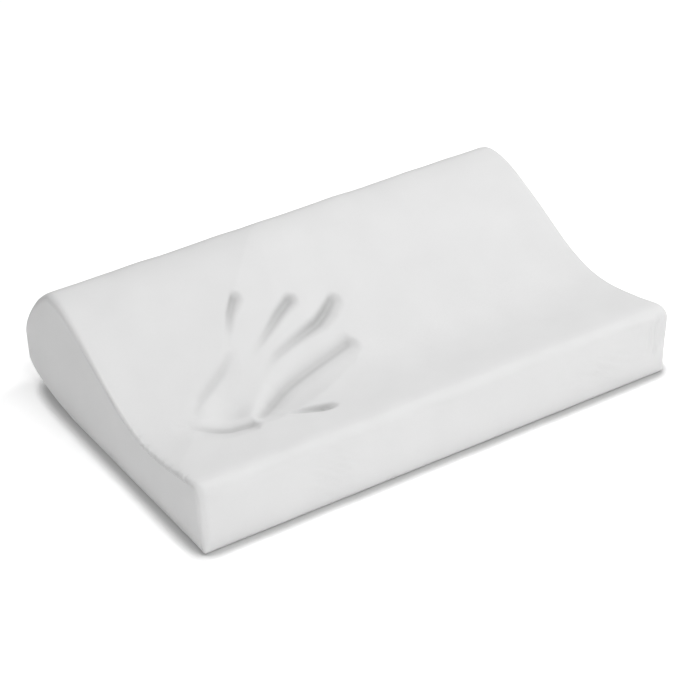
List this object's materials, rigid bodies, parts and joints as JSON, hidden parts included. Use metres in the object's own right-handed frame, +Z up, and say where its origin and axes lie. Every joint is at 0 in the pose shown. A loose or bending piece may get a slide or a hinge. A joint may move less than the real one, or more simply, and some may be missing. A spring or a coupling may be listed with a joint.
{
  "type": "contoured foam bed pillow",
  "caption": "Contoured memory-foam bed pillow: high rear roll, shallow valley and low front lobe, in a liner and a fitted cover with a rear zip.",
  "frame": {"origin": "middle of the underside of the whole object's box", "axes": "+X along the pillow's length, -Y towards the low front edge, +Y towards the high rear roll and the zip, +Z up"},
  "size_m": [0.5, 0.3548, 0.126],
  "materials": {
    "foam": "matte, open-cell moulded foam with a smooth skin",
    "liner": "matte fine jersey",
    "cover": "matte smooth close knit",
    "thread": "soft sheen polyester thread",
    "zip_tape": "matte woven tape",
    "zip_coil": "satin nylon coil",
    "zip_metal": "satin nickel plate",
    "label": "blank satin ribbon"
  },
  "bodies": {
    "pillow": {"foam_core": "foam", "liner_wrap": "liner", "liner_end_left": "liner", "liner_end_right": "liner", "cover_top_panel": "cover", "cover_base_panel": "cover", "cover_end_left": "cover", "cover_end_right": "cover", "end_seam_left": "thread", "end_seam_right": "thread", "front_seam": "thread", "rear_seam_left": "thread", "rear_seam_right": "thread", "zip_tape_upper": "zip_tape", "zip_tape_lower": "zip_tape", "zip_coil_upper": "zip_coil", "zip_coil_lower": "zip_coil", "zip_top_stop_upper": "zip_metal", "zip_top_stop_lower": "zip_metal", "zip_bottom_stop": "zip_metal", "zip_stitching_upper": "thread", "zip_stitching_lower": "thread", "care_label": "label"},
    "slider": {"zip_slider": "zip_metal"},
    "pull": {"pull_tab": "zip_metal"}
  },
  "joints": [
    {"name": "zip_slide", "type": "slide", "parent": "pillow", "child": "slider", "axis": [1, 0, 0], "range_m": [0, 0.389]},
    {"name": "pull_swing", "type": "hinge", "parent": "slider", "child": "pull", "pos_m": [-0.1945, 0.17567, 0.042], "axis": [0, 0, 1], "range_deg": [0, 170]}
  ]
}
